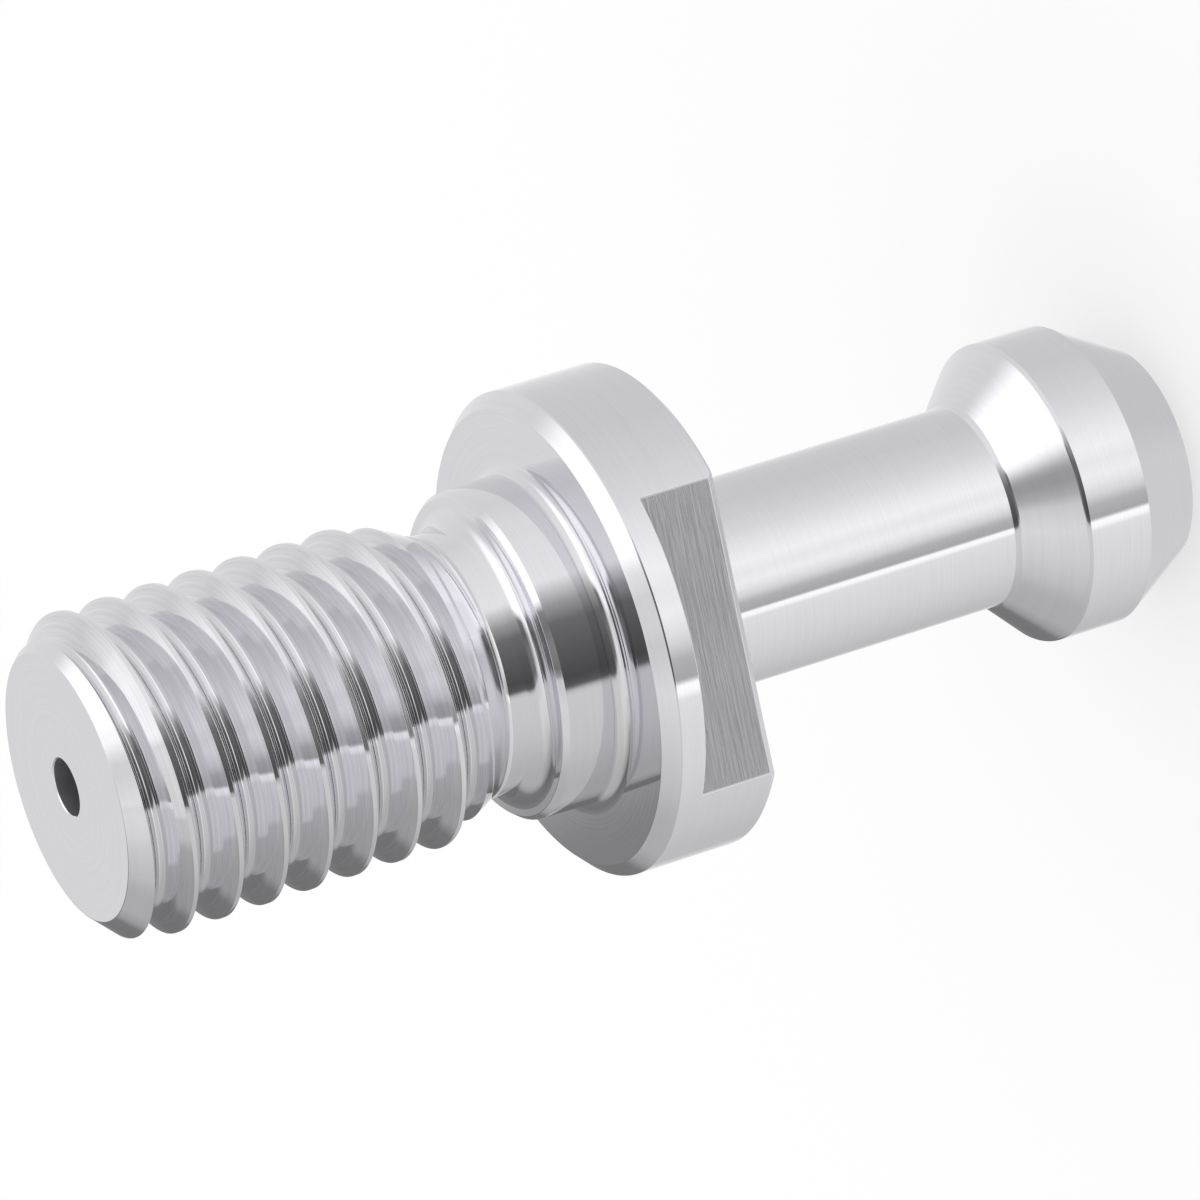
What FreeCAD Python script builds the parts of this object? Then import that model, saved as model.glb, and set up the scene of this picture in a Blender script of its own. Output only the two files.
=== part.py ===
import FreeCAD, Part
import math
import os
import Sketcher

# A pull stud (retention knob) for a taper-shank tool holder, turned from one steel bar.
# It stands on the end of its gripping head with its thread up, along Z.
# The origin is the middle of the flange's seat face, which bears on the holder's end.

# Driving sizes in millimetres and degrees; heights go up from the seat face, depths go down
SIZES = {
    # Threaded shank
    "shank_length": 25.2,
    "thread_diameter": 15.875,
    "thread_pitch": 2.309091,
    "thread_depth": 1.4075,
    "thread_crest_width": 0.289,
    "thread_flank_angle": 30.0,
    "thread_start_above_end": 3.22,
    "thread_end_height": 5.0,
    "cutter_overshoot": 0.1,
    "end_chamfer": 1.44,
    # Relief between the thread and the pilot, turned just below the thread's root
    "relief_clearance": 0.03,
    "relief_foot_height": 5.5,
    "relief_taper_angle": 27.0,
    "relief_fillet_radius": 1.0,
    "relief_fillet_sweep": 60.0,
    # Pilot that centres the stud in the holder, with a ring groove where it meets the seat
    "pilot_diameter": 16.25,
    "pilot_length": 3.35,
    "pilot_chamfer": 0.3,
    "ring_groove_height": 0.77,
    "ring_groove_depth": 0.12,
    "ring_groove_reach": 0.33,
    # Flange with two wrench flats cut in from its back
    "flange_diameter": 23.9,
    "flange_thickness": 6.0,
    "flange_chamfer": 0.7,
    "flange_back_chamfer": 0.2,
    "across_flats": 19.05,
    "flat_length": 4.0,
    # Neck and gripping head; the cone under the head is at 45 degrees
    "neck_diameter": 10.0,
    "neck_fillet_radius": 1.0,
    "cone_start_depth": 23.15,
    "head_diameter": 15.0,
    "head_cylinder_length": 3.4,
    "head_taper_length": 3.6,
    "head_end_diameter": 10.9,
    # Coolant bore along the whole axis
    "bore_diameter": 2.8,
    "bore_mouth_chamfer": 0.15,
}

NODE = "pull_stud"
CLOCKWISE = -1
COUNTERCLOCKWISE = 1
TINY = 1e-9


def named(name):
    return f"Sizes.{name}"


def radius(name):
    return f"(Sizes.{name} / 2)"


# Sizes that follow from the driving ones
THREAD_ROOT = f"({radius('thread_diameter')} - {named('thread_depth')})"
RELIEF = f"({THREAD_ROOT} - {named('relief_clearance')})"
CONE_HEIGHT = f"({radius('head_diameter')} - {radius('neck_diameter')})"
HEAD_EDGE_DEPTH = f"({named('cone_start_depth')} + {CONE_HEIGHT})"
HEAD_BACK_DEPTH = f"({HEAD_EDGE_DEPTH} + {named('head_cylinder_length')})"
FULL_DEPTH = f"({HEAD_BACK_DEPTH} + {named('head_taper_length')})"
TAPER_ANGLE = f"({named('relief_taper_angle')} * 1 deg)"
TAPER_RISE = f"(({radius('thread_diameter')} - {RELIEF}) / tan({TAPER_ANGLE}))"


def fill_sheet(document):
    sheet = document.addObject("Spreadsheet::Sheet", "Sizes")
    for row, (name, value) in enumerate(SIZES.items(), start=1):
        sheet.set(f"A{row}", name)
        sheet.set(f"B{row}", str(value))
        sheet.setAlias(f"B{row}", name)
    document.recompute()


def new_sketch(body, name, plane_role):
    """An empty sketch on one of the body's own origin planes."""
    sketch = body.newObject("Sketcher::SketchObject", name)
    plane = next(item for item in body.Origin.OriginFeatures if item.Role == plane_role)
    sketch.AttachmentSupport = [(plane, "")]
    sketch.MapMode = "FlatFace"
    return sketch


def bind(sketch, constraint, expression):
    """Add a constraint and tie its value to the sheet."""
    index = sketch.addConstraint(constraint)
    sketch.setExpression(f"Constraints[{index}]", expression)


def hold(sketch, point, direction, axis, expression, value):
    """Hold a point on an axis, or at a bound distance to either side of it."""
    origin = (-1, 1)
    if abs(value) < TINY:
        sketch.addConstraint(Sketcher.Constraint("PointOnObject", *point, axis))
    elif value > 0:
        bind(sketch, Sketcher.Constraint(direction, *origin, *point, value), expression)
    else:
        bind(sketch, Sketcher.Constraint(direction, *point, *origin, -value), f"-({expression})")


def arc_between(start, end, arc_radius, turn):
    """The short arc of the given radius from start to end."""
    chord = end - start
    reach = math.sqrt(arc_radius**2 - (chord.Length / 2) ** 2)
    sideways = FreeCAD.Vector(-chord.y, chord.x, 0).normalize()
    centre = (start + end) / 2 + sideways * (reach * turn)
    first, last = (start, end) if turn == COUNTERCLOCKWISE else (end, start)
    first_angle = math.atan2(first.y - centre.y, first.x - centre.x)
    last_angle = math.atan2(last.y - centre.y, last.x - centre.x)
    circle = Part.Circle(centre, FreeCAD.Vector(0, 0, 1), arc_radius)
    return Part.ArcOfCircle(circle, first_angle, last_angle)


def draw_outline(sketch, corners):
    """Draw a closed outline whose corners are (across, up) or (across, up, radius, turn).

    A corner with a radius starts an arc to the next corner, otherwise a line starts there.
    """
    places = []
    for corner in corners:
        across, up = (float(sketch.evalExpression(text)) for text in corner[:2])
        places.append(FreeCAD.Vector(across, up, 0))
    points = []
    for number, corner in enumerate(corners):
        start = places[number]
        end = places[(number + 1) % len(corners)]
        if len(corner) == 2:
            line = sketch.addGeometry(Part.LineSegment(start, end), False)
            points.append(((line, 1), (line, 2)))
            continue
        arc_radius = float(sketch.evalExpression(corner[2]))
        arc = sketch.addGeometry(arc_between(start, end, arc_radius, corner[3]), False)
        bind(sketch, Sketcher.Constraint("Radius", arc, arc_radius), corner[2])
        ends = ((arc, 1), (arc, 2)) if corner[3] == COUNTERCLOCKWISE else ((arc, 2), (arc, 1))
        points.append(ends)
    for number, corner in enumerate(corners):
        following = points[(number + 1) % len(corners)]
        sketch.addConstraint(Sketcher.Constraint("Coincident", *points[number][1], *following[0]))
        hold(sketch, points[number][0], "DistanceX", -2, corner[0], places[number].x)
        hold(sketch, points[number][0], "DistanceY", -1, corner[1], places[number].y)


def head_outline():
    """From the middle of the head's end, up to the foot of the neck's fillet."""
    end = radius("head_end_diameter")
    head = radius("head_diameter")
    neck = radius("neck_diameter")
    return [
        ("0", f"-{FULL_DEPTH}"),
        (end, f"-{FULL_DEPTH}"),
        (head, f"-{HEAD_BACK_DEPTH}"),
        (head, f"-{HEAD_EDGE_DEPTH}"),
        (neck, f"-{named('cone_start_depth')}"),
    ]


def flange_outline():
    """The neck's fillet, the flange and the ring groove at the foot of the pilot."""
    neck = radius("neck_diameter")
    fillet = named("neck_fillet_radius")
    flange = radius("flange_diameter")
    back = named("flange_thickness")
    back_chamfer = named("flange_back_chamfer")
    chamfer = named("flange_chamfer")
    pilot = radius("pilot_diameter")
    groove_depth = named("ring_groove_depth")
    groove_height = named("ring_groove_height")
    return [
        (neck, f"-({back} + {fillet})", fillet, CLOCKWISE),
        (f"{neck} + {fillet}", f"-{back}"),
        (f"{flange} - {back_chamfer}", f"-{back}"),
        (flange, f"-({back} - {back_chamfer})"),
        (flange, f"-{chamfer}"),
        (f"{flange} - {chamfer}", "0"),
        (f"{pilot} + {named('ring_groove_reach')}", "0"),
        (f"{pilot} - {groove_depth}", f"{groove_height} - {groove_depth}"),
        (pilot, groove_height),
    ]


def shank_outline():
    """The pilot's end, the relief and the thread's blank, up to the middle of the end face."""
    pilot = radius("pilot_diameter")
    pilot_top = named("pilot_length")
    chamfer = named("pilot_chamfer")
    fillet = named("relief_fillet_radius")
    sweep = f"({named('relief_fillet_sweep')} * 1 deg)"
    fillet_top = f"({pilot_top} + {fillet} * sin({sweep}))"
    foot = named("relief_foot_height")
    thread = radius("thread_diameter")
    top = named("shank_length")
    end_chamfer = named("end_chamfer")
    return [
        (pilot, f"{pilot_top} - {chamfer}"),
        (f"{pilot} - {chamfer}", pilot_top),
        (f"{RELIEF} + {fillet} * (1 - cos({sweep}))", pilot_top, fillet, CLOCKWISE),
        (RELIEF, fillet_top),
        (RELIEF, foot),
        (thread, f"{foot} + {TAPER_RISE}"),
        (thread, f"{top} - {end_chamfer}"),
        (f"{thread} - {end_chamfer}", top),
        ("0", top),
    ]


def turn_blank(body):
    """The turned stud without its thread, flats and bore."""
    sketch = new_sketch(body, "turned_profile", "XZ_Plane")
    draw_outline(sketch, head_outline() + flange_outline() + shank_outline())
    turned = body.newObject("PartDesign::Revolution", "turned_blank")
    turned.Profile = sketch
    turned.ReferenceAxis = (sketch, ["V_Axis"])
    turned.Angle = 360


def drill_bore(body):
    """The coolant bore, with a small chamfer at each mouth."""
    sketch = new_sketch(body, "bore_profile", "XZ_Plane")
    bore = radius("bore_diameter")
    chamfer = named("bore_mouth_chamfer")
    top = named("shank_length")
    draw_outline(
        sketch,
        [
            ("0", f"-{FULL_DEPTH}"),
            (f"{bore} + {chamfer}", f"-{FULL_DEPTH}"),
            (bore, f"-({FULL_DEPTH} - {chamfer})"),
            (bore, f"{top} - {chamfer}"),
            (f"{bore} + {chamfer}", top),
            ("0", top),
        ],
    )
    bored = body.newObject("PartDesign::Groove", "coolant_bore")
    bored.Profile = sketch
    bored.ReferenceAxis = (sketch, ["V_Axis"])
    bored.Angle = 360


def mill_flats(body):
    """Two opposite wrench flats, milled in from the back and stopped short of the seat."""
    sketch = new_sketch(body, "flats_profile", "XY_Plane")
    sketch.setExpression("AttachmentOffset.Base.z", f"-{named('flange_thickness')}")
    inner = radius("across_flats")
    outer = named("flange_diameter")
    for side in ("", "-"):
        draw_outline(
            sketch,
            [
                (f"{side}{inner}", f"-{outer}"),
                (f"{side}{outer}", f"-{outer}"),
                (f"{side}{outer}", outer),
                (f"{side}{inner}", outer),
            ],
        )
    milled = body.newObject("PartDesign::Pocket", "wrench_flats")
    milled.Profile = sketch
    milled.setExpression("Length", named("flat_length"))
    milled.Reversed = True


def cut_thread(body):
    """A right-hand thread, its groove cut from above the end face down into the relief."""
    sketch = new_sketch(body, "thread_profile", "XZ_Plane")
    crest = radius("thread_diameter")
    beyond = f"({crest} + {named('cutter_overshoot')})"
    flank = f"tan({named('thread_flank_angle')} * 1 deg)"
    crest_half = f"(({named('thread_pitch')} - {named('thread_crest_width')}) / 2)"
    root_half = f"({crest_half} - {named('thread_depth')} * {flank})"
    beyond_half = f"({crest_half} + {named('cutter_overshoot')} * {flank})"
    start = f"({named('shank_length')} + {named('thread_start_above_end')})"
    draw_outline(
        sketch,
        [
            (THREAD_ROOT, f"{start} - {root_half}"),
            (beyond, f"{start} - {beyond_half}"),
            (beyond, f"{start} + {beyond_half}"),
            (THREAD_ROOT, f"{start} + {root_half}"),
        ],
    )
    thread = body.newObject("PartDesign::SubtractiveHelix", "thread")
    thread.Profile = sketch
    thread.ReferenceAxis = (sketch, ["V_Axis"])
    thread.Mode = 0
    thread.setExpression("Pitch", named("thread_pitch"))
    thread.setExpression("Height", f"{start} - {named('thread_end_height')}")
    thread.LeftHanded = False
    thread.Reversed = True


def build_stud(document):
    body = document.addObject("PartDesign::Body", NODE)
    body.Label = NODE
    for step in (turn_blank, mill_flats, cut_thread, drill_bore):
        before = body.Shape.Volume if body.Tip else 0
        step(body)
        document.recompute()
        if step is not turn_blank and body.Shape.Volume > before - TINY:
            raise RuntimeError(f"{step.__name__} removed nothing")
    return body


def check(document, body):
    """Stop when a feature has failed or the stud isn't one sound solid."""
    for item in document.Objects:
        if "Invalid" in item.State or "Error" in item.State:
            raise RuntimeError(f"{item.Name} failed: {item.State}")
    shape = body.Shape
    if shape.isNull() or not shape.isValid() or len(shape.Solids) != 1:
        raise RuntimeError(f"{body.Label} isn't one valid solid")


def main():
    document = FreeCAD.newDocument("PullStud")
    fill_sheet(document)
    stud = build_stud(document)
    check(document, stud)
    os.makedirs("parts", exist_ok=True)
    stud.Shape.exportStep(f"parts/{stud.Label}.step")
    print(stud.Label, stud.Shape.BoundBox, round(stud.Shape.Volume, 2))


main()
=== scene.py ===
"""A turned steel pull stud on a white studio floor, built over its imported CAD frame."""

import math

import bmesh
import bpy
from bpy.props import FloatProperty, FloatVectorProperty, PointerProperty
from bpy.types import Operator, Panel, PropertyGroup
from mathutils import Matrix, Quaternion, Vector


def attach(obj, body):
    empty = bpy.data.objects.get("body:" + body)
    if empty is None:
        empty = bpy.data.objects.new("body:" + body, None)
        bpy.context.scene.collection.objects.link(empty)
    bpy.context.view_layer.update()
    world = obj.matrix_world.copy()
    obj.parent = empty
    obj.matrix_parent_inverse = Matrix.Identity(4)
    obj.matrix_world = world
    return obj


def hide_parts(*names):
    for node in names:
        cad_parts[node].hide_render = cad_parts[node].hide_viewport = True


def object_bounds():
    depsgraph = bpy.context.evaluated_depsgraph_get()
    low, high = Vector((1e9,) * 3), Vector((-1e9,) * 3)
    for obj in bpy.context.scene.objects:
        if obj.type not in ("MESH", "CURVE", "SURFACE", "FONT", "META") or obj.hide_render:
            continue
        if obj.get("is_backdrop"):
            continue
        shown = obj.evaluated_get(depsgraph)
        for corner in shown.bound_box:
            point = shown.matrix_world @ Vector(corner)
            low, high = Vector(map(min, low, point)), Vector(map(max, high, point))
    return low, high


bl_info = {
    "name": "Pull Stud",
    "version": (1, 0, 0),
    "blender": (4, 5, 0),
    "location": "3D View > Sidebar > Pull Stud",
    "description": "Builds a detailed pull stud and the studio it stands in",
    "category": "Object",
}

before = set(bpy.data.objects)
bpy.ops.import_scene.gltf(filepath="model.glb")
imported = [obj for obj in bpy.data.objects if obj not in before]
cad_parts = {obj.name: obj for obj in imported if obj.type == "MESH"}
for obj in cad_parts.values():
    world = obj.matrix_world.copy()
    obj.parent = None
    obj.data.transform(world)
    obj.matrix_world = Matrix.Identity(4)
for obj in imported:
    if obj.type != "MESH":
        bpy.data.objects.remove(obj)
CAD_LOW, CAD_HIGH = (tuple(corner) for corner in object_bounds())

MM = 0.001
NODE = "pull_stud"
BODY = "root"
# Facets in one turn of the stud and of its thread
TURN_STEPS = 288
THREAD_STEPS = 144
# Facets in a rounding; one with a radius up to FINE_RADIUS has fewer
ARC_SEGMENTS = 8
FINE_SEGMENTS = 3
FINE_RADIUS = 0.1 * MM
MERGE_DISTANCE = 0.0002 * MM
SHARP_ANGLE = math.radians(24)
# Areas below about a square centimetre don't weigh in a normal, so this is done on an enlarged stud
NORMALS_SCALE = 8192.0
# Faces whose areas differ by less than this, in square metres of the enlarged stud, weigh the same
SAME_AREA = 0.07
# At this weight the largest faces alone set a normal
LARGEST_ONLY = 100
RELIEF_TAPER = math.radians(27)
# How far the ring groove's opening in the seat lies beyond its rounded floor
RING_LIP = 0.08 * MM
FLANK_ANGLE = math.radians(30)
THREAD_TURNS = 10.25
# The groove starts this part of a turn before +X, in the relief's clear space, so that it runs out smoothly
THREAD_LEAD = 0.25
# How far the thread's cutter stands out past the crests, and the gap between its turns
CUTTER_OVERSHOOT = 0.25 * MM
CUTTER_GAP = 0.03 * MM
# The roundings at the crest meet its flat at this angle, which keeps the flat's edges crisp
CREST_EDGE_ANGLE = math.radians(33)
# The blocks that mill the flats are this many times as wide as the flange and as high as the flats
BLOCK_WIDTH = 1.5
BLOCK_HEIGHT = 2.0
CHAMFER_ANGLE = math.radians(45)
# A face whose normal rises less than this is part of the bore's wall, not of a mouth's chamfer
WALL_RISE = 0.5
# Places of the finishes in the stud's material slots
TURNED, MILLED, THREADED, BROKEN_EDGE, BORED = range(5)


def length(name, description, millimetres):
    """A size that the user may change, shown in the scene's length unit."""
    return FloatProperty(
        name=name, description=description, default=millimetres * MM, unit="LENGTH", precision=5,
    )


class StudSizes(PropertyGroup):
    """Diameters, lengths and roundings of the stud."""

    thread_diameter: length("Thread diameter", "Across the thread's crests", 15.875)
    thread_pitch: length("Thread pitch", "Advance of the thread in one turn", 2.309091)
    thread_depth: length("Thread depth", "From crest to root", 1.4075)
    crest_width: length("Crest width", "Width of the flat on the thread's crest", 0.289)
    crest_break: length("Crest break", "Rounding along the crest's edge towards the end face", 0.04)
    crest_rounding: length("Crest rounding", "Rounding along the crest's edge towards the head", 0.2)
    flank_bulge: length("Flank bulge", "How much the flank towards the end face gives way at the crest", 0.05)
    root_rounding: length("Root rounding", "Rounding in the thread's root", 0.34)
    thread_top: length("Thread top", "Height of the groove's middle above the end face, on +X", 3.22)
    end_chamfer: length("End chamfer", "45 degree chamfer round the end face", 1.44)
    relief_diameter: length("Relief diameter", "Between the thread and the pilot", 13.0)
    relief_draft: length("Relief draft", "How much the relief's radius shrinks towards its foot", 0.04)
    relief_foot: length("Relief foot", "Height at which the relief starts to widen into the thread", 5.42)
    relief_rounding: length("Relief rounding", "Rounding at the foot of the relief's taper", 0.8)
    relief_fillet: length("Relief fillet", "Fillet between the relief and the pilot", 1.0)
    pilot_diameter: length("Pilot diameter", "Cylinder that centres the stud", 16.25)
    pilot_length: length("Pilot length", "From the seat face", 3.35)
    pilot_chamfer: length("Pilot chamfer", "At the pilot's free edge", 0.3)
    pilot_taper: length("Pilot taper", "How much the pilot's radius shrinks towards its free edge", 0.06)
    ring_depth: length("Ring groove depth", "How far the groove cuts into the pilot", 0.12)
    ring_sink: length("Ring groove sink", "How far the groove dips below the seat face", 0.023)
    ring_radius: length("Ring groove radius", "Radius of the groove's floor", 0.62)
    ring_wall: length("Ring groove wall", "Height at which the groove starts to run out", 0.65)
    flange_diameter: length("Flange diameter", "Across the flange's round part", 23.9)
    flange_thickness: length("Flange thickness", "From the seat face to the back", 6.0)
    flange_chamfer: length("Flange chamfer", "45 degree chamfer at the seat face", 0.7)
    flange_rounding: length("Flange rounding", "Rounding of the edge between that chamfer and the rim", 0.12)
    back_chamfer: length("Back chamfer", "Small chamfer at the flange's back", 0.2)
    across_flats: length("Across flats", "Between the two wrench flats", 19.05)
    flat_length: length("Flat length", "From the flange's back towards the seat", 4.0)
    flat_chamfer: length("Flat chamfer", "At the back edge of each flat", 0.35)
    neck_diameter: length("Neck diameter", "Between the flange and the head", 10.0)
    neck_fillet: length("Neck fillet", "Fillet between the neck and the flange", 1.0)
    cone_start: length("Cone start", "Depth of the gripping cone's foot below the seat", 23.15)
    cone_rounding: length("Cone rounding", "Rounding at the cone's foot", 0.5)
    head_diameter: length("Head diameter", "Across the gripping head", 15.0)
    head_rounding: length("Head rounding", "Rounding at the cone's outer edge", 0.35)
    head_length: length("Head length", "Straight part of the head", 3.4)
    head_end: length("Head end", "Diameter of the head's flat end", 10.9)
    bore_diameter: length("Bore diameter", "Coolant bore along the axis", 2.8)
    bore_chamfer: length("Bore chamfer", "At both mouths of the bore", 0.06)
    edge_break: length("Edge break", "Tiny rounding of turned edges", 0.06)


class StudFinish(PropertyGroup):
    """Colour and polish of the steel."""

    steel_color: FloatVectorProperty(
        name="Steel", description="Colour of the bare steel", subtype="COLOR", size=3, min=0, max=1,
        default=(0.80, 0.793, 0.824),
    )
    # Edges: steel brighter than the rest, which paints a highlight line along the broken edges of the flats
    edge_highlight_color: FloatVectorProperty(
        name="Edges", description="Colour of the freshly broken edges", subtype="COLOR", size=3, min=0, max=1,
        default=(0.95, 0.95, 0.97),
    )
    bore_color: FloatVectorProperty(
        name="Bore", description="Colour of the dull wall of the bore", subtype="COLOR", size=3, min=0, max=1,
        default=(0.4, 0.4, 0.42),
    )
    turned_roughness: FloatProperty(
        name="Turned roughness", description="Roughness of the turned surfaces", subtype="FACTOR",
        min=0, max=1, default=0.05,
    )
    threaded_roughness: FloatProperty(
        name="Threaded roughness", description="Roughness of the thread", subtype="FACTOR",
        min=0, max=1, default=0.05,
    )
    milled_roughness: FloatProperty(
        name="Milled roughness", description="Roughness of the wrench flats", subtype="FACTOR",
        min=0, max=1, default=0.3,
    )


class StudioSettings(PropertyGroup):
    """Floor and camera lens of the studio."""

    floor_size: FloatProperty(
        name="Floor size", description="Side of the square floor", unit="LENGTH", default=3.0,
    )
    lens: FloatProperty(
        name="Lens", description="Focal length of the camera", unit="CAMERA", default=259.72,
    )


# Small modelling steps


def deselect_everything():
    """Leave edit mode and clear the selection."""
    if bpy.context.object and bpy.context.object.mode != "OBJECT":
        bpy.ops.object.mode_set(mode="OBJECT")
    bpy.ops.object.select_all(action="DESELECT")


def choose(piece):
    """Make a piece the only selected object."""
    deselect_everything()
    bpy.context.view_layer.objects.active = piece
    piece.select_set(True)


def select_vertices(piece, wanted):
    """In edit mode, select the vertices for which wanted(position) is true."""
    mesh = bmesh.from_edit_mesh(piece.data)
    for vertex in mesh.verts:
        vertex.select_set(wanted(vertex.co))
    mesh.select_flush_mode()
    bmesh.update_edit_mesh(piece.data)


def point(across, up):
    """A place in the XZ plane."""
    return Vector((across, 0, up))


def draw_loop(name, corners):
    """Extrude one vertex round a closed outline; each corner starts with (across, up)."""
    deselect_everything()
    bpy.ops.mesh.primitive_plane_add(size=MM, location=point(*corners[0][:2]))
    piece = bpy.context.object
    piece.name = name
    bpy.ops.object.transform_apply(location=True, rotation=True, scale=True)
    bpy.ops.object.mode_set(mode="EDIT")
    bpy.ops.mesh.select_mode(type="VERT")
    bpy.ops.mesh.select_all(action="SELECT")
    bpy.ops.mesh.merge(type="CENTER")
    places = [point(*corner[:2]) for corner in corners]
    for start, end in zip(places, places[1:] + places[:1]):
        bpy.ops.mesh.extrude_region_move(TRANSFORM_OT_translate={"value": end - start})
    bpy.ops.mesh.select_all(action="SELECT")
    bpy.ops.mesh.remove_doubles(threshold=MERGE_DISTANCE)
    return piece


def round_corners(piece, corners):
    """Bevel each outline corner that has a rounding radius; each corner is (across, up, radius)."""
    places = [point(*corner[:2]) for corner in corners]
    for number, corner in enumerate(corners):
        radius = corner[2]
        if not radius:
            continue
        here = places[number]
        before = (here - places[number - 1]).normalized()
        after = (places[(number + 1) % len(places)] - here).normalized()
        reach = radius * math.tan(before.angle(after) / 2)
        select_vertices(piece, lambda place: (place - here).length < MERGE_DISTANCE)
        segments = ARC_SEGMENTS if radius > FINE_RADIUS else FINE_SEGMENTS
        bpy.ops.mesh.bevel(
            affect="VERTICES", offset_type="OFFSET", offset=reach, segments=segments, profile=0.5,
        )


def close_seams(piece):
    """Merge doubled vertices and point all faces outwards."""
    bpy.ops.mesh.select_all(action="SELECT")
    bpy.ops.mesh.remove_doubles(threshold=MERGE_DISTANCE)
    bpy.ops.mesh.normals_make_consistent(inside=False)
    bpy.ops.object.mode_set(mode="OBJECT")


def cut(piece, cutter, finish):
    """Take a cutter away from a piece and delete it; the cut faces get the given finish."""
    for material in piece.data.materials:
        cutter.data.materials.append(material)
    for face in cutter.data.polygons:
        face.material_index = finish
    choose(piece)
    bpy.ops.object.modifier_add(type="BOOLEAN")
    modifier = piece.modifiers[-1]
    modifier.operation = "DIFFERENCE"
    modifier.solver = "EXACT"
    modifier.object = cutter
    bpy.ops.object.modifier_apply(modifier=modifier.name)
    bpy.data.objects.remove(cutter, do_unlink=True)


# The stud


def stud_corners(size):
    """The closed outline of the turned stud from the bore's lower mouth to its upper one."""
    top = CAD_HIGH[2]
    bottom = CAD_LOW[2]
    edge = size.edge_break
    bore = size.bore_diameter / 2
    bore_edge = size.bore_chamfer
    neck = size.neck_diameter / 2
    head = size.head_diameter / 2
    cone_end = size.cone_start + head - neck
    flange = size.flange_diameter / 2
    back = size.flange_thickness
    pilot = size.pilot_diameter / 2
    groove = pilot - size.ring_depth
    relief = size.relief_diameter / 2
    thread = size.thread_diameter / 2
    waist = relief - size.relief_draft
    relief_top = size.relief_foot + (thread - waist) / math.tan(RELIEF_TAPER)
    return [
        (bore + bore_edge, bottom, 0),
        (size.head_end / 2, bottom, edge),
        (head, -(cone_end + size.head_length), edge),
        (head, -cone_end, size.head_rounding),
        (neck, -size.cone_start, size.cone_rounding),
        (neck, -back, size.neck_fillet),
        (flange - size.back_chamfer, -back, 0),
        (flange, size.back_chamfer - back, 0),
        (flange, -size.flange_chamfer, size.flange_rounding),
        (flange - size.flange_chamfer, 0, edge),
        (groove + size.ring_radius + RING_LIP, 0, 0),
        (groove, -size.ring_sink, size.ring_radius),
        (groove, size.ring_wall, 0),
        (pilot, size.ring_wall + size.ring_depth, 0),
        (pilot - size.pilot_taper, size.pilot_length - size.pilot_chamfer, edge),
        (pilot - size.pilot_chamfer, size.pilot_length, edge),
        (relief, size.pilot_length, size.relief_fillet),
        (waist, size.relief_foot, size.relief_rounding),
        (thread, relief_top, 0),
        (thread, top - size.end_chamfer, 0),
        (thread - size.end_chamfer, top, edge),
        (bore + bore_edge, top, 0),
        (bore, top - bore_edge, 0),
        (bore, bottom + bore_edge, 0),
    ]


def turn_stud(size):
    """Spin the outline once round the axis."""
    corners = stud_corners(size)
    stud = draw_loop("turned_stud", corners)
    round_corners(stud, corners)
    bpy.ops.mesh.select_all(action="SELECT")
    bpy.ops.mesh.spin(steps=TURN_STEPS, angle=math.tau, center=(0, 0, 0), axis=(0, 0, 1))
    close_seams(stud)
    return stud


def thread_corners(size):
    """Outline of the thread's groove at its lower end; its shoulders round off the crests."""
    middle = CAD_HIGH[2] + size.thread_top - THREAD_TURNS * size.thread_pitch
    crest = size.thread_diameter / 2
    root = crest - size.thread_depth
    slope = math.tan(FLANK_ANGLE)
    rise = 1 - math.cos(CREST_EDGE_ANGLE)
    lower_shoulder = crest + size.crest_break * rise
    upper_shoulder = crest + size.crest_rounding * rise
    beyond = crest + CUTTER_OVERSHOOT
    crest_half = (size.thread_pitch - size.crest_width) / 2
    root_half = crest_half - size.thread_depth * slope
    bend = crest - size.thread_depth / 2
    bend_half = (crest_half + root_half) / 2
    bend_rounding = size.thread_depth
    lower_half = crest_half + size.flank_bulge
    upper_half = crest_half + size.crest_rounding * rise * slope
    end_half = crest_half + (size.crest_width - CUTTER_GAP) / 2
    return [
        (root, middle - root_half, size.root_rounding),
        (bend, middle - bend_half, bend_rounding),
        (lower_shoulder, middle - lower_half, size.crest_break),
        (lower_shoulder, middle - end_half, 0),
        (beyond, middle - end_half, 0),
        (beyond, middle + end_half, 0),
        (upper_shoulder, middle + end_half, 0),
        (upper_shoulder, middle + upper_half, size.crest_rounding),
        (root, middle + root_half, size.root_rounding),
    ]


def thread_cutter(size):
    """Wind the groove's outline up the shank as a right-hand helix with closed ends."""
    corners = thread_corners(size)
    cutter = draw_loop("thread_cutter", corners)
    round_corners(cutter, corners)
    bpy.ops.object.mode_set(mode="OBJECT")
    choose(cutter)
    bpy.ops.object.modifier_add(type="SCREW")
    screw = cutter.modifiers[-1]
    screw.axis = "Z"
    screw.angle = math.tau * THREAD_TURNS
    screw.screw_offset = size.thread_pitch * THREAD_TURNS
    screw.steps = screw.render_steps = round(THREAD_STEPS * THREAD_TURNS)
    screw.use_merge_vertices = False
    bpy.ops.object.modifier_apply(modifier=screw.name)
    cutter.rotation_euler.z = -math.tau * THREAD_LEAD
    bpy.ops.object.transform_apply(location=True, rotation=True, scale=True)
    bpy.ops.object.mode_set(mode="EDIT")
    bpy.ops.mesh.select_mode(type="EDGE")
    bpy.ops.mesh.select_all(action="DESELECT")
    bpy.ops.mesh.select_non_manifold()
    bpy.ops.mesh.fill_holes(sides=0)
    bpy.ops.mesh.select_mode(type="VERT")
    close_seams(cutter)
    return cutter


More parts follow.
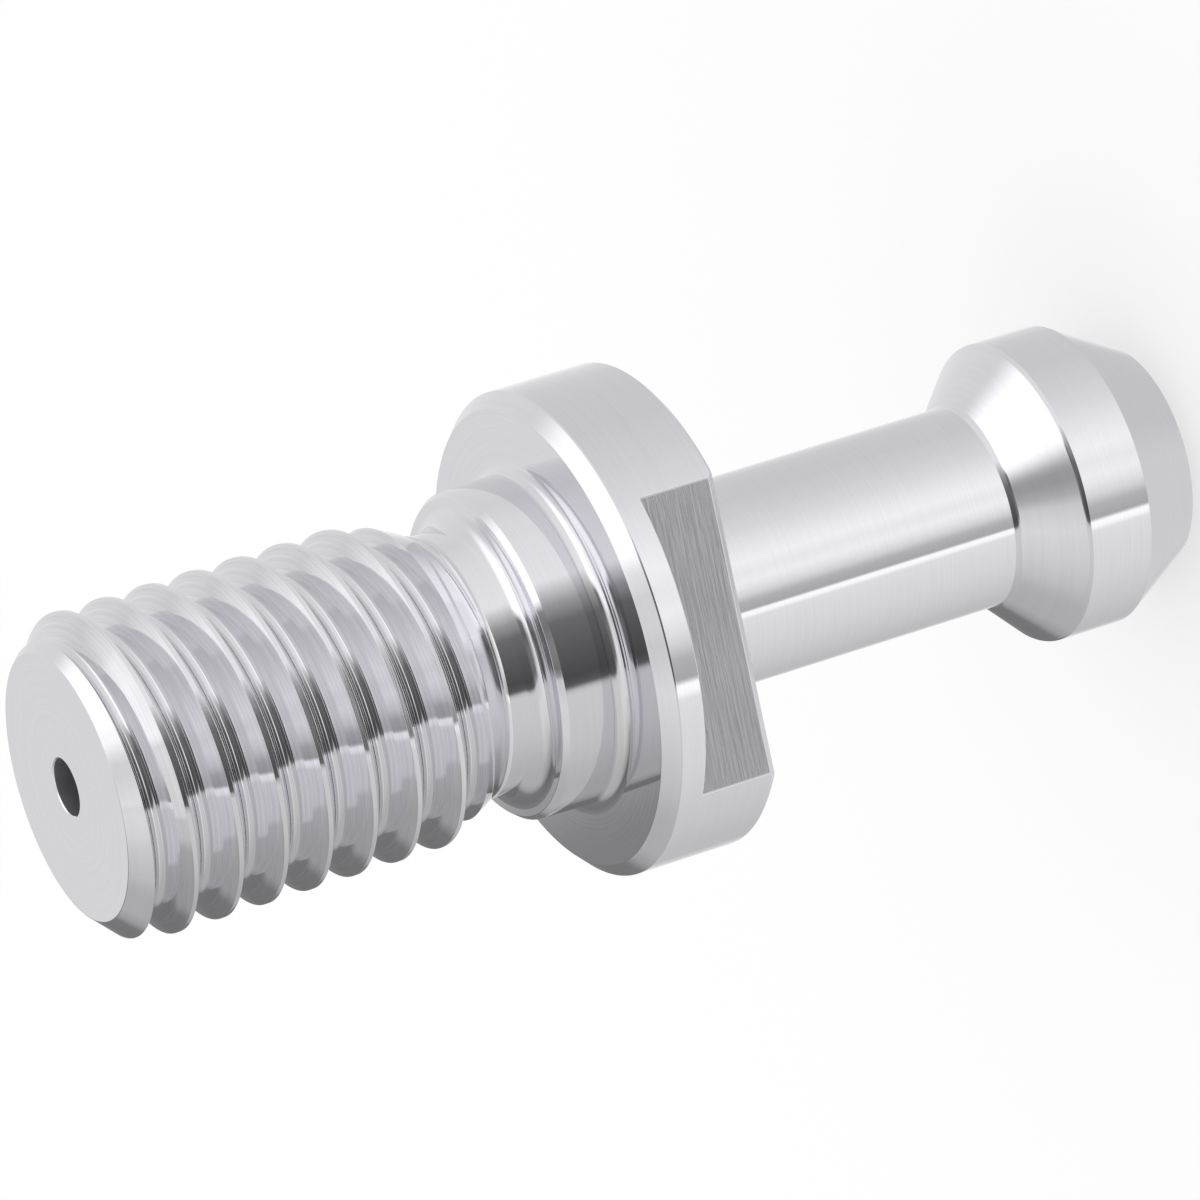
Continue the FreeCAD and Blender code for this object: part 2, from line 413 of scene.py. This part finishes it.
def block(name, centre, sizes, tilt=0.0):
    """A plain cutting block, turned about Y by tilt."""
    deselect_everything()
    bpy.ops.mesh.primitive_cube_add(size=1, location=centre, rotation=(0, tilt, 0))
    piece = bpy.context.object
    piece.name = name
    piece.scale = sizes
    bpy.ops.object.transform_apply(location=True, rotation=True, scale=True)
    return piece


def mill_flats(stud, size):
    """Two wrench flats, each with a chamfer along its back edge."""
    flat = size.across_flats / 2
    depth = size.flange_diameter / 2
    width = size.flange_diameter * BLOCK_WIDTH
    back = size.flange_thickness
    height = size.flat_length * BLOCK_HEIGHT
    shift = depth / 2 * math.cos(CHAMFER_ANGLE)
    for side in (1, -1):
        centre = (side * (flat + depth / 2), 0, size.flat_length - back - height / 2)
        cut(stud, block("flat_cutter", centre, (depth, width, height)), MILLED)
        # The second block is turned, and one of its faces runs through the middle of the chamfer
        middle = (flat - size.flat_chamfer / 2, size.flat_chamfer / 2 - back)
        centre = (side * (middle[0] + shift), 0, middle[1] - shift)
        cut(stud, block("chamfer_cutter", centre, (depth, width, depth), CHAMFER_ANGLE), BROKEN_EDGE)


def break_milled_edges(stud, size):
    """Take the sharpness off the edges that milling left."""
    inside = size.across_flats / 2 - size.flat_chamfer - size.edge_break
    top = size.flat_length - size.flange_thickness
    choose(stud)
    bpy.ops.object.mode_set(mode="EDIT")
    bpy.ops.mesh.select_mode(type="EDGE")
    bpy.ops.mesh.select_all(action="DESELECT")
    mesh = bmesh.from_edit_mesh(stud.data)
    for edge in mesh.edges:
        milled = all(abs(vert.co.x) > inside and vert.co.z < top + MERGE_DISTANCE for vert in edge.verts)
        if milled and edge.is_convex and edge.calc_face_angle() > SHARP_ANGLE:
            edge.select_set(True)
    bmesh.update_edit_mesh(stud.data)
    bpy.ops.mesh.bevel(affect="EDGES", offset=size.edge_break, segments=2, material=BROKEN_EDGE)
    bpy.ops.mesh.select_mode(type="VERT")
    bpy.ops.object.mode_set(mode="OBJECT")


def mark_bore(stud, size):
    """Give the bore's wall its own finish."""
    reach = size.bore_diameter / 2 + MERGE_DISTANCE
    for face in stud.data.polygons:
        if math.hypot(face.center.x, face.center.y) < reach and abs(face.normal.z) < WALL_RISE:
            face.material_index = BORED


def resize(piece, factor):
    """Scale a piece about the origin, in its mesh."""
    piece.scale = (factor, factor, factor)
    bpy.ops.object.transform_apply(location=True, rotation=True, scale=True)


def shade_smooth(stud):
    """Shade the stud smooth between its crisp edges; the larger faces keep their own normals."""
    choose(stud)
    bpy.ops.object.shade_smooth_by_angle(angle=SHARP_ANGLE)
    resize(stud, NORMALS_SCALE)
    bpy.ops.object.modifier_add(type="WEIGHTED_NORMAL")
    normals = stud.modifiers[-1]
    normals.keep_sharp = True
    normals.weight = LARGEST_ONLY
    normals.thresh = SAME_AREA
    bpy.ops.object.modifier_apply(modifier=normals.name)
    resize(stud, 1 / NORMALS_SCALE)


# Materials

# Tool marks in a metre of turned steel, and how much more height counts in them than distance from the axis
TURNED_MARKS = 7000.0
TURNED_RISE = 1.7
# Tool marks over one pitch of the thread
THREAD_MARKS = 60.0
# Tool marks in a metre of the milled flats, along X, Y and Z
MILLED_MARKS = (1.0, 300.0, 8000.0)
# How much the marks change round a turn
TURNED_CHANGE = 0.8
THREAD_CHANGE = 1.6
# How deep the marks are, and how much darker than the steel between them
TURNED_MARK_DEPTH = 0.0004 * MM
TURNED_CONTRAST = 0.03
THREAD_MARK_DEPTH = 0.0005 * MM
THREAD_CONTRAST = 0.12
MILLED_MARK_DEPTH = 0.01 * MM
MILLED_CONTRAST = 0.22
# Noise values between which a mark turns into bare steel
MARK_END = 0.35
BARE_START = 0.6
PLAIN_ROUGHNESS = 0.4
BORE_METALLIC = 0.8


def new_material(name):
    """A material with an empty node tree."""
    material = bpy.data.materials.new(name)
    material.use_nodes = True
    material.node_tree.nodes.clear()
    return material, material.node_tree


def add_node(tree, kind, inputs=None, **settings):
    """A node with its settings; inputs maps socket names or numbers to values or sockets."""
    made = tree.nodes.new(kind)
    for name, value in settings.items():
        setattr(made, name, value)
    for name, value in (inputs or {}).items():
        if isinstance(value, bpy.types.NodeSocket):
            tree.links.new(value, made.inputs[name])
        else:
            made.inputs[name].default_value = value
    return made


def math_node(tree, operation, *values):
    """The result of one operation on numbers or sockets."""
    made = add_node(tree, "ShaderNodeMath", dict(enumerate(values)), operation=operation)
    return made.outputs[0]


def steel_shader(tree, color, roughness, marks, depth, contrast):
    """Bare metal whose fine marks lie deeper and a little darker than the rest."""
    bump = add_node(tree, "ShaderNodeBump", {"Height": marks, "Distance": depth, "Strength": 1.0})
    darker = tuple(part * (1 - contrast) for part in color)
    lie = add_node(tree, "ShaderNodeMapRange", {"Value": marks, "From Min": MARK_END, "From Max": BARE_START})
    tone = add_node(
        tree, "ShaderNodeMix", {"Factor": lie.outputs[0], 6: (*darker, 1.0), 7: (*color, 1.0)},
        data_type="RGBA",
    )
    shader = add_node(
        tree, "ShaderNodeBsdfPrincipled",
        {"Metallic": 1.0, "Base Color": tone.outputs[2], "Roughness": roughness, "Normal": bump.outputs[0]},
    )
    add_node(tree, "ShaderNodeOutputMaterial", {"Surface": shader.outputs[0]})


def polar(tree):
    """The three coordinates of a place, and its distance from the axis."""
    place = add_node(tree, "ShaderNodeTexCoord").outputs["Object"]
    x, y, z = add_node(tree, "ShaderNodeSeparateXYZ", {0: place}).outputs
    squares = math_node(tree, "ADD", math_node(tree, "MULTIPLY", x, x), math_node(tree, "MULTIPLY", y, y))
    across = math_node(tree, "SQRT", squares)
    return x, y, z, across


def ring_marks(tree, along, x, y, across, change):
    """Noise in fine lines round the axis; it changes slowly round a turn and has no seam."""
    east = math_node(tree, "MULTIPLY", math_node(tree, "DIVIDE", x, across), change)
    north = math_node(tree, "MULTIPLY", math_node(tree, "DIVIDE", y, across), change)
    place = add_node(tree, "ShaderNodeCombineXYZ", {0: along, 1: east, 2: north})
    noise = add_node(
        tree, "ShaderNodeTexNoise",
        {"Vector": place.outputs[0], "Scale": 1.0, "Detail": 3.0, "Roughness": 0.65},
    )
    return noise.outputs[0]


def turned_steel(finish):
    """Polished steel with very fine circular tool marks."""
    material, tree = new_material("turned_steel")
    x, y, z, across = polar(tree)
    along = math_node(tree, "ADD", across, math_node(tree, "MULTIPLY", z, TURNED_RISE))
    marks = ring_marks(tree, math_node(tree, "MULTIPLY", along, TURNED_MARKS), x, y, across, TURNED_CHANGE)
    steel_shader(tree, finish.steel_color, finish.turned_roughness, marks, TURNED_MARK_DEPTH, TURNED_CONTRAST)
    return material


def threaded_steel(finish, pitch):
    """Steel with tool marks that follow the thread, the same on each turn."""
    material, tree = new_material("threaded_steel")
    x, y, z, across = polar(tree)
    turn = math_node(tree, "DIVIDE", math_node(tree, "ARCTAN2", y, x), math.tau)
    turns = math_node(tree, "SUBTRACT", math_node(tree, "DIVIDE", z, pitch), turn)
    along = math_node(tree, "MULTIPLY", math_node(tree, "FRACT", turns), THREAD_MARKS)
    marks = ring_marks(tree, along, x, y, across, THREAD_CHANGE)
    roughness = finish.threaded_roughness
    steel_shader(tree, finish.steel_color, roughness, marks, THREAD_MARK_DEPTH, THREAD_CONTRAST)
    return material


def milled_steel(finish):
    """Steel with streaks along Y, as a side cutter leaves them."""
    material, tree = new_material("milled_steel")
    place = add_node(tree, "ShaderNodeTexCoord").outputs["Object"]
    stretch = add_node(tree, "ShaderNodeMapping", {"Vector": place, "Scale": MILLED_MARKS})
    noise = add_node(
        tree, "ShaderNodeTexNoise",
        {"Vector": stretch.outputs[0], "Scale": 1.0, "Detail": 4.0, "Roughness": 0.7},
    )
    marks = noise.outputs[0]
    steel_shader(tree, finish.steel_color, finish.milled_roughness, marks, MILLED_MARK_DEPTH, MILLED_CONTRAST)
    return material


def plain_steel(name, color, roughness, metallic):
    """Steel without marks, for narrow edges and the bore; the narrow edges get a brighter colour as a painted
    highlight.
    """
    material, tree = new_material(name)
    shader = add_node(
        tree, "ShaderNodeBsdfPrincipled",
        {"Metallic": metallic, "Base Color": (*color, 1.0), "Roughness": roughness},
    )
    add_node(tree, "ShaderNodeOutputMaterial", {"Surface": shader.outputs[0]})
    return material


def stud_finishes(finish, size):
    """The materials in the order of their slots."""
    return (
        turned_steel(finish),
        milled_steel(finish),
        threaded_steel(finish, size.thread_pitch),
        # The broken edges get the brighter edge steel, a painted highlight along them
        plain_steel("broken_edge_painted_highlight", finish.edge_highlight_color, PLAIN_ROUGHNESS, 1.0),
        plain_steel("bored_steel", finish.bore_color, PLAIN_ROUGHNESS, BORE_METALLIC),
    )


# The studio

CAMERA_AIM = Vector((-0.215, 0.942, -3.251)) * MM
CAMERA_DISTANCE = 411.21 * MM
CAMERA_AZIMUTH = math.radians(12.853)
CAMERA_ELEVATION = math.radians(23.336)
CAMERA_ROLL = math.radians(107.242)
VIEW_AZIMUTH = math.radians(13)
SENSOR = 36.0
NEAR_CLIP = 10 * MM
FAR_CLIP = 20.0
# The share of the floor's white that is its own glow, which keeps the shadow on it faint
FLOOR_GLOW = 0.5


def place_camera(studio):
    """Stand the camera at the photo's angle, rolled as in the photo."""
    camera = bpy.data.objects.new("camera", bpy.data.cameras.new("camera"))
    bpy.context.collection.objects.link(camera)
    camera.data.lens = studio.lens
    camera.data.sensor_width = SENSOR
    camera.data.clip_start = NEAR_CLIP
    camera.data.clip_end = FAR_CLIP
    level = math.cos(CAMERA_ELEVATION)
    back = Vector((
        level * math.cos(CAMERA_AZIMUTH), level * math.sin(CAMERA_AZIMUTH), math.sin(CAMERA_ELEVATION),
    ))
    turn = back.to_track_quat("Z", "Y") @ Quaternion((0, 0, 1), -CAMERA_ROLL)
    camera.rotation_euler = turn.to_euler()
    camera.location = CAMERA_AIM + back * CAMERA_DISTANCE
    bpy.context.scene.camera = camera


def lay_floor(studio):
    """A pale floor that shows white but keeps a soft shadow."""
    deselect_everything()
    bpy.ops.mesh.primitive_plane_add(size=studio.floor_size, location=(0, 0, CAD_LOW[2]))
    floor = bpy.context.object
    floor.name = "floor"
    bpy.ops.object.transform_apply(location=True, rotation=True, scale=True)
    material, tree = new_material("pale_floor")
    grey = 1 - FLOOR_GLOW
    plain = add_node(tree, "ShaderNodeBsdfDiffuse", {"Color": (grey, grey, grey, 1.0)})
    paths = add_node(tree, "ShaderNodeLightPath").outputs
    seen = math_node(tree, "ADD", paths["Is Camera Ray"], paths["Is Glossy Ray"])
    seen = math_node(tree, "ADD", seen, paths["Is Transmission Ray"])
    glow = add_node(tree, "ShaderNodeEmission", {"Strength": math_node(tree, "MULTIPLY", seen, FLOOR_GLOW)})
    both = add_node(tree, "ShaderNodeAddShader", {0: plain.outputs[0], 1: glow.outputs[0]})
    add_node(tree, "ShaderNodeOutputMaterial", {"Surface": both.outputs[0]})
    floor.data.materials.append(material)
    floor.visible_glossy = False
    floor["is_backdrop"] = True


def ramp(tree, factor, stops):
    """A colour ramp of grey stops, each (place, brightness)."""
    made = add_node(tree, "ShaderNodeValToRGB", {0: factor})
    elements = made.color_ramp.elements
    while len(elements) > 1:
        elements.remove(elements[-1])
    for number, (place, grey) in enumerate(stops):
        element = elements[0] if number == 0 else elements.new(place)
        element.position = place
        element.color = (grey, grey, grey, 1.0)
    return made.outputs[0]


# What the polished steel mirrors: rings of light and shade round the stud, from below to overhead.
# Each stop is an angle from the camera's side in degrees and a brightness, where 1 is white.
# The side and high rings hold the dark gap in which the camera stands, from about -30 to 38 degrees.
UNDER_RING = ((-180, 0.67), (-90, 0.67), (-45, 0.72), (75, 0.75), (140, 0.73))
LOW_RING = (
    (-180, 0.78), (-169, 0.92), (-158, 0.80), (-140, 0.73), (-120, 0.71), (-95, 0.71), (-70, 0.77),
    (-50, 0.86), (-36, 0.96), (-24, 1.05), (-15, 1.10), (-4, 1.02), (6, 1.08), (13, 0.98), (20, 0.82),
    (27, 0.56), (37.5, 0.47), (38.7, 1.25), (43, 1.20), (46, 0.92), (60, 0.87), (80, 0.83), (100, 0.76),
    (120, 0.69), (140, 0.61), (157, 0.57), (168, 0.74),
)
SIDE_RING = (
    (-180, 0.80), (-165, 0.85), (-140, 0.82), (-112, 0.78), (-90, 0.86), (-60, 0.92), (-37, 0.96),
    (-30, 0.70), (-20, 0.38), (-8, 0.17), (10, 0.12), (30, 0.08), (36, 0.12), (39, 0.60), (42, 0.72),
    (60, 0.70), (80, 0.66), (100, 0.58), (120, 0.52), (138, 0.50), (146, 0.40), (152, 0.22), (165, 0.20),
    (177, 0.25), (178.5, 0.80),
)
# The seat mirrors a little higher than the end face; there the shade reaches right behind the stud
SEAT_RING = SIDE_RING[:-2] + ((179, 0.25),)
HIGH_RING = (
    (-180, 0.78), (-160, 0.72), (-140, 0.75), (-125, 1.00), (-112, 1.22), (-98, 1.35), (-34, 1.35),
    (-29, 0.95), (-23, 0.22), (-10, 0.13), (5, 0.20), (28, 0.18), (35, 0.38), (38, 0.70), (60, 0.82),
    (80, 0.78), (110, 0.62), (125, 0.48), (140, 0.38), (155, 0.15), (179, 0.20),
)
UPPER_RING = (
    (-180, 0.85), (-160, 0.90), (-140, 1.00), (-112, 1.20), (-95, 1.28), (-45, 1.30), (-39, 1.28),
    (-33, 1.11), (-27, 0.90), (-21, 0.67), (-15, 0.49), (-7, 0.39), (3, 0.38), (14, 0.45), (21, 0.51),
    (27, 0.61), (33, 0.72), (60, 0.86), (80, 0.83), (110, 0.72), (140, 0.62), (179, 0.50),
)
TOP_RING = (
    (-180, 0.90), (-140, 1.20), (-95, 1.15), (-40, 1.22), (-22, 0.95), (-8, 0.80), (10, 0.80), (28, 0.84),
    (50, 0.92), (80, 0.86), (100, 0.80), (140, 0.90),
)
# Elevations between which one ring fades into the next, in degrees
RING_FADES = ((-45, -31), (-22.8, -21.2), (20.8, 22.4), (24, 40), (52, 59), (63.8, 66))
# A colour ramp holds brightness up to 1, so the rings are stored divided by this
RING_GAIN = 2.0


def ring(tree, around, stops):
    """Brightness round the stud; the ramp's ends meet behind it."""
    places = [((angle + 180) / 360, tone / RING_GAIN) for angle, tone in stops]
    return ramp(tree, around, places + [(1.0, places[0][1])])


def light_world():
    """A white studio; in polished steel it shows its soft boxes, its table and the dark round the camera."""
    world = bpy.data.worlds.new("studio")
    bpy.context.scene.world = world
    world.use_nodes = True
    tree = world.node_tree
    tree.nodes.clear()
    direction = add_node(tree, "ShaderNodeTexCoord").outputs["Generated"]
    turned = add_node(
        tree, "ShaderNodeVectorRotate", {"Vector": direction, "Angle": -VIEW_AZIMUTH}, rotation_type="Z_AXIS",
    )
    x, y, z = add_node(tree, "ShaderNodeSeparateXYZ", {0: turned.outputs[0]}).outputs
    around = math_node(tree, "ARCTAN2", math_node(tree, "MULTIPLY", y, -1.0), x)
    around = math_node(tree, "ADD", math_node(tree, "DIVIDE", around, math.tau), 0.5)
    tone = ring(tree, around, UNDER_RING)
    rings = (LOW_RING, SIDE_RING, SEAT_RING, HIGH_RING, UPPER_RING, TOP_RING)
    for stops, (start, end) in zip(rings, RING_FADES):
        fade = add_node(
            tree, "ShaderNodeMapRange",
            {"Value": z, "From Min": math.sin(math.radians(start)), "From Max": math.sin(math.radians(end))},
            interpolation_type="SMOOTHSTEP",
        )
        tone = add_node(
            tree, "ShaderNodeMix", {"Factor": fade.outputs[0], 6: tone, 7: ring(tree, around, stops)},
            data_type="RGBA",
        ).outputs[2]
    paths = add_node(tree, "ShaderNodeLightPath").outputs
    mirrored = add_node(tree, "ShaderNodeBackground", {"Color": tone, "Strength": RING_GAIN})
    plain = add_node(tree, "ShaderNodeBackground", {"Color": (1, 1, 1, 1), "Strength": 1.0})
    chosen = add_node(
        tree, "ShaderNodeMixShader", {0: paths["Is Glossy Ray"], 1: plain.outputs[0], 2: mirrored.outputs[0]},
    )
    add_node(tree, "ShaderNodeOutputWorld", {"Surface": chosen.outputs[0]})


# Operators and panel


class PULLSTUD_OT_stud(Operator):
    """Build the threaded, milled and bored stud"""

    bl_idname = "pullstud.stud"
    bl_label = "Build the stud"

    def execute(self, context):
        size = context.scene.stud_sizes
        finish = context.scene.stud_finish
        stud = turn_stud(size)
        for material in stud_finishes(finish, size):
            stud.data.materials.append(material)
        mill_flats(stud, size)
        break_milled_edges(stud, size)
        cut(stud, thread_cutter(size), THREADED)
        mark_bore(stud, size)
        shade_smooth(stud)
        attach(stud, BODY)
        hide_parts(NODE)
        return {"FINISHED"}


class PULLSTUD_OT_studio(Operator):
    """Lay the floor, light the studio and place the camera"""

    bl_idname = "pullstud.studio"
    bl_label = "Set up the studio"

    def execute(self, context):
        studio = context.scene.studio_settings
        lay_floor(studio)
        light_world()
        place_camera(studio)
        context.scene.view_settings.view_transform = "Standard"
        return {"FINISHED"}


class PULLSTUD_PT_panel(Panel):
    """Sizes, finish and studio of the pull stud"""

    bl_label = "Pull Stud"
    bl_space_type = "VIEW_3D"
    bl_region_type = "UI"
    bl_category = "Pull Stud"

    def draw(self, context):
        layout = self.layout
        groups = (
            ("Stud", context.scene.stud_sizes, PULLSTUD_OT_stud),
            ("Finish", context.scene.stud_finish, None),
            ("Studio", context.scene.studio_settings, PULLSTUD_OT_studio),
        )
        for title, group, operator in groups:
            box = layout.box()
            box.label(text=title)
            for name in group.__annotations__:
                box.prop(group, name)
            if operator:
                box.operator(operator.bl_idname)


CLASSES = (StudSizes, StudFinish, StudioSettings, PULLSTUD_OT_stud, PULLSTUD_OT_studio, PULLSTUD_PT_panel)


def register():
    for item in CLASSES:
        bpy.utils.register_class(item)
    bpy.types.Scene.stud_sizes = PointerProperty(type=StudSizes)
    bpy.types.Scene.stud_finish = PointerProperty(type=StudFinish)
    bpy.types.Scene.studio_settings = PointerProperty(type=StudioSettings)


def unregister():
    for name in ("stud_sizes", "stud_finish", "studio_settings"):
        delattr(bpy.types.Scene, name)
    for item in reversed(CLASSES):
        bpy.utils.unregister_class(item)


def main():
    register()
    bpy.ops.pullstud.stud()
    bpy.ops.pullstud.studio()


if __name__ == "__main__":
    main()
